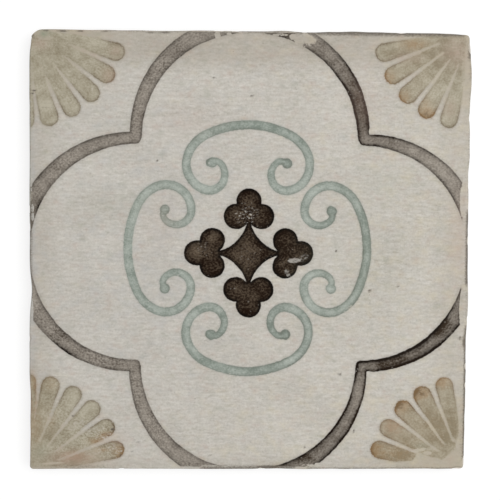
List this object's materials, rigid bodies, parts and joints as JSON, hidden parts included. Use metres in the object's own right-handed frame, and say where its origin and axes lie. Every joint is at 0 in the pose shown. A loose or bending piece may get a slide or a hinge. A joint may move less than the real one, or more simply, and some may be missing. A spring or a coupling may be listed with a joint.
{
  "type": "ceramic tile",
  "caption": "Square ceramic wall or floor tile with a grey quatrefoil band, grey-green scrolls, a dark trefoil cross and khaki corner fans on an off-white ground; keyed back.",
  "frame": {"origin": "the middle of the back, on the plane that the ribs rest on", "axes": "+Z out of the painted face, +X right and +Y up as the face is read"},
  "size_m": [0.2, 0.2, 0.01],
  "materials": {
    "clay": "unglazed fired clay, fine-grained and dusty",
    "ground": "matt off-white ground with cloudy tints and fine brushed grain",
    "band_grey": "matt mottled grey colour with darker pooled edges",
    "cross_brown": "matt mottled dark brown colour, near black at its edges, worn through in places",
    "scroll_green": "matt grey-green colour with slightly darker edges",
    "fan_khaki": "matt thin khaki colour, tinted ochre at some tips"
  },
  "bodies": {
    "root": {"clay_body": "clay", "ground_coat": "ground", "band_top_right": "band_grey", "band_top_left": "band_grey", "band_bottom_left": "band_grey", "band_bottom_right": "band_grey", "trefoil_cross": "cross_brown", "scroll_top": "scroll_green", "scroll_left": "scroll_green", "scroll_bottom": "scroll_green", "scroll_right": "scroll_green", "fan_top_left": "fan_khaki", "fan_top_right": "fan_khaki", "fan_bottom_right": "fan_khaki", "petal_bottom_right": "fan_khaki", "fan_bottom_left": "fan_khaki"}
  },
  "joints": []
}
